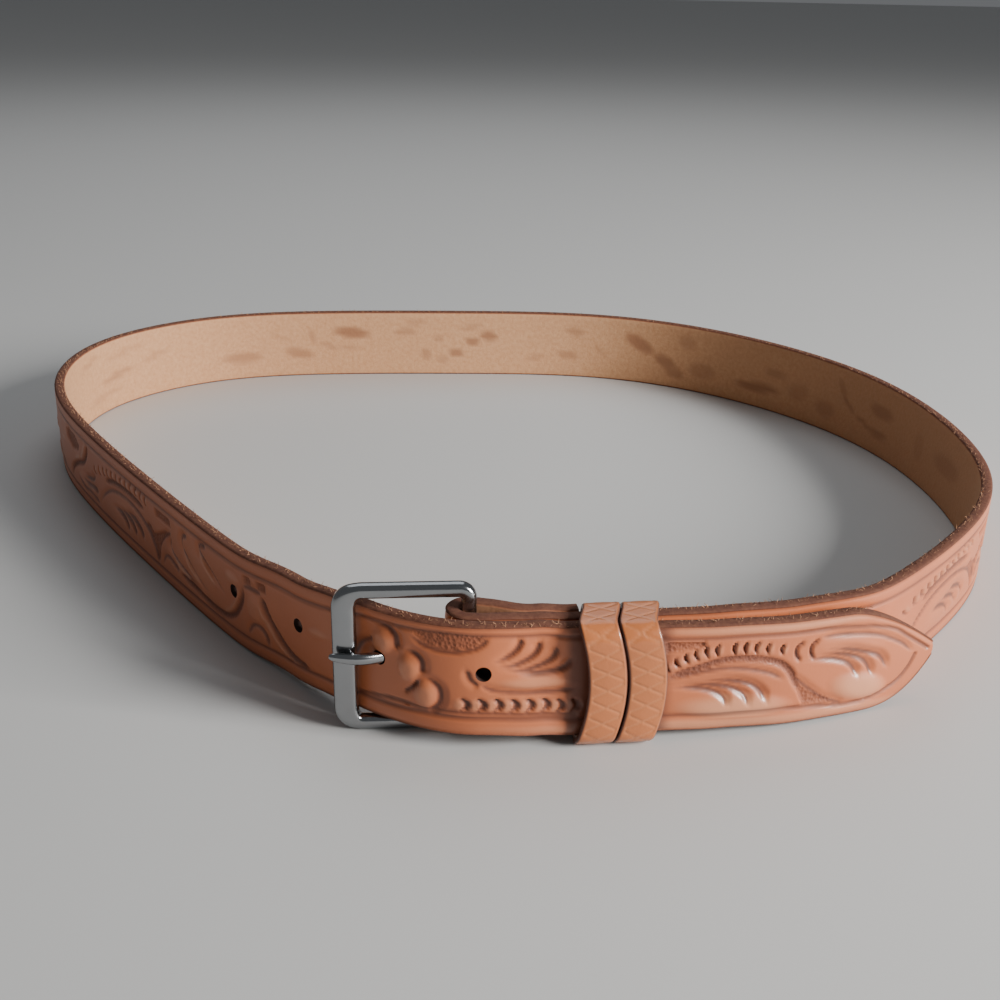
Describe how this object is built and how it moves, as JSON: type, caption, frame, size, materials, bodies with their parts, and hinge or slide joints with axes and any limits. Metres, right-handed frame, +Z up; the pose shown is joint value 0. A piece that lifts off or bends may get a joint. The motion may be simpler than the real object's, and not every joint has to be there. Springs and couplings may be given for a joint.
{
  "type": "belt",
  "caption": "Buckled western belt of tooled leather with a plain rectangular single-prong buckle, two leather keepers and a pointed tip, standing on its edge in a loop.",
  "frame": {"origin": "on the floor under the middle of the whole belt's bounding box", "axes": "+X along the buckled front towards the strap's tip, -Y out of the front where the buckle is, +Z up, across the strap's width"},
  "size_m": [0.3245, 0.2972, 0.0395],
  "materials": {
    "strap_leather": "satin",
    "keeper_leather": "gloss",
    "buckle_metal": "polished",
    "rivet_metal": "satin"
  },
  "bodies": {
    "root": {"strap": "strap_leather", "buckle_frame": "buckle_metal", "buckle_prong": "buckle_metal", "keeper_left": "keeper_leather", "keeper_right": "keeper_leather", "chape_rivet": "rivet_metal"}
  },
  "joints": []
}
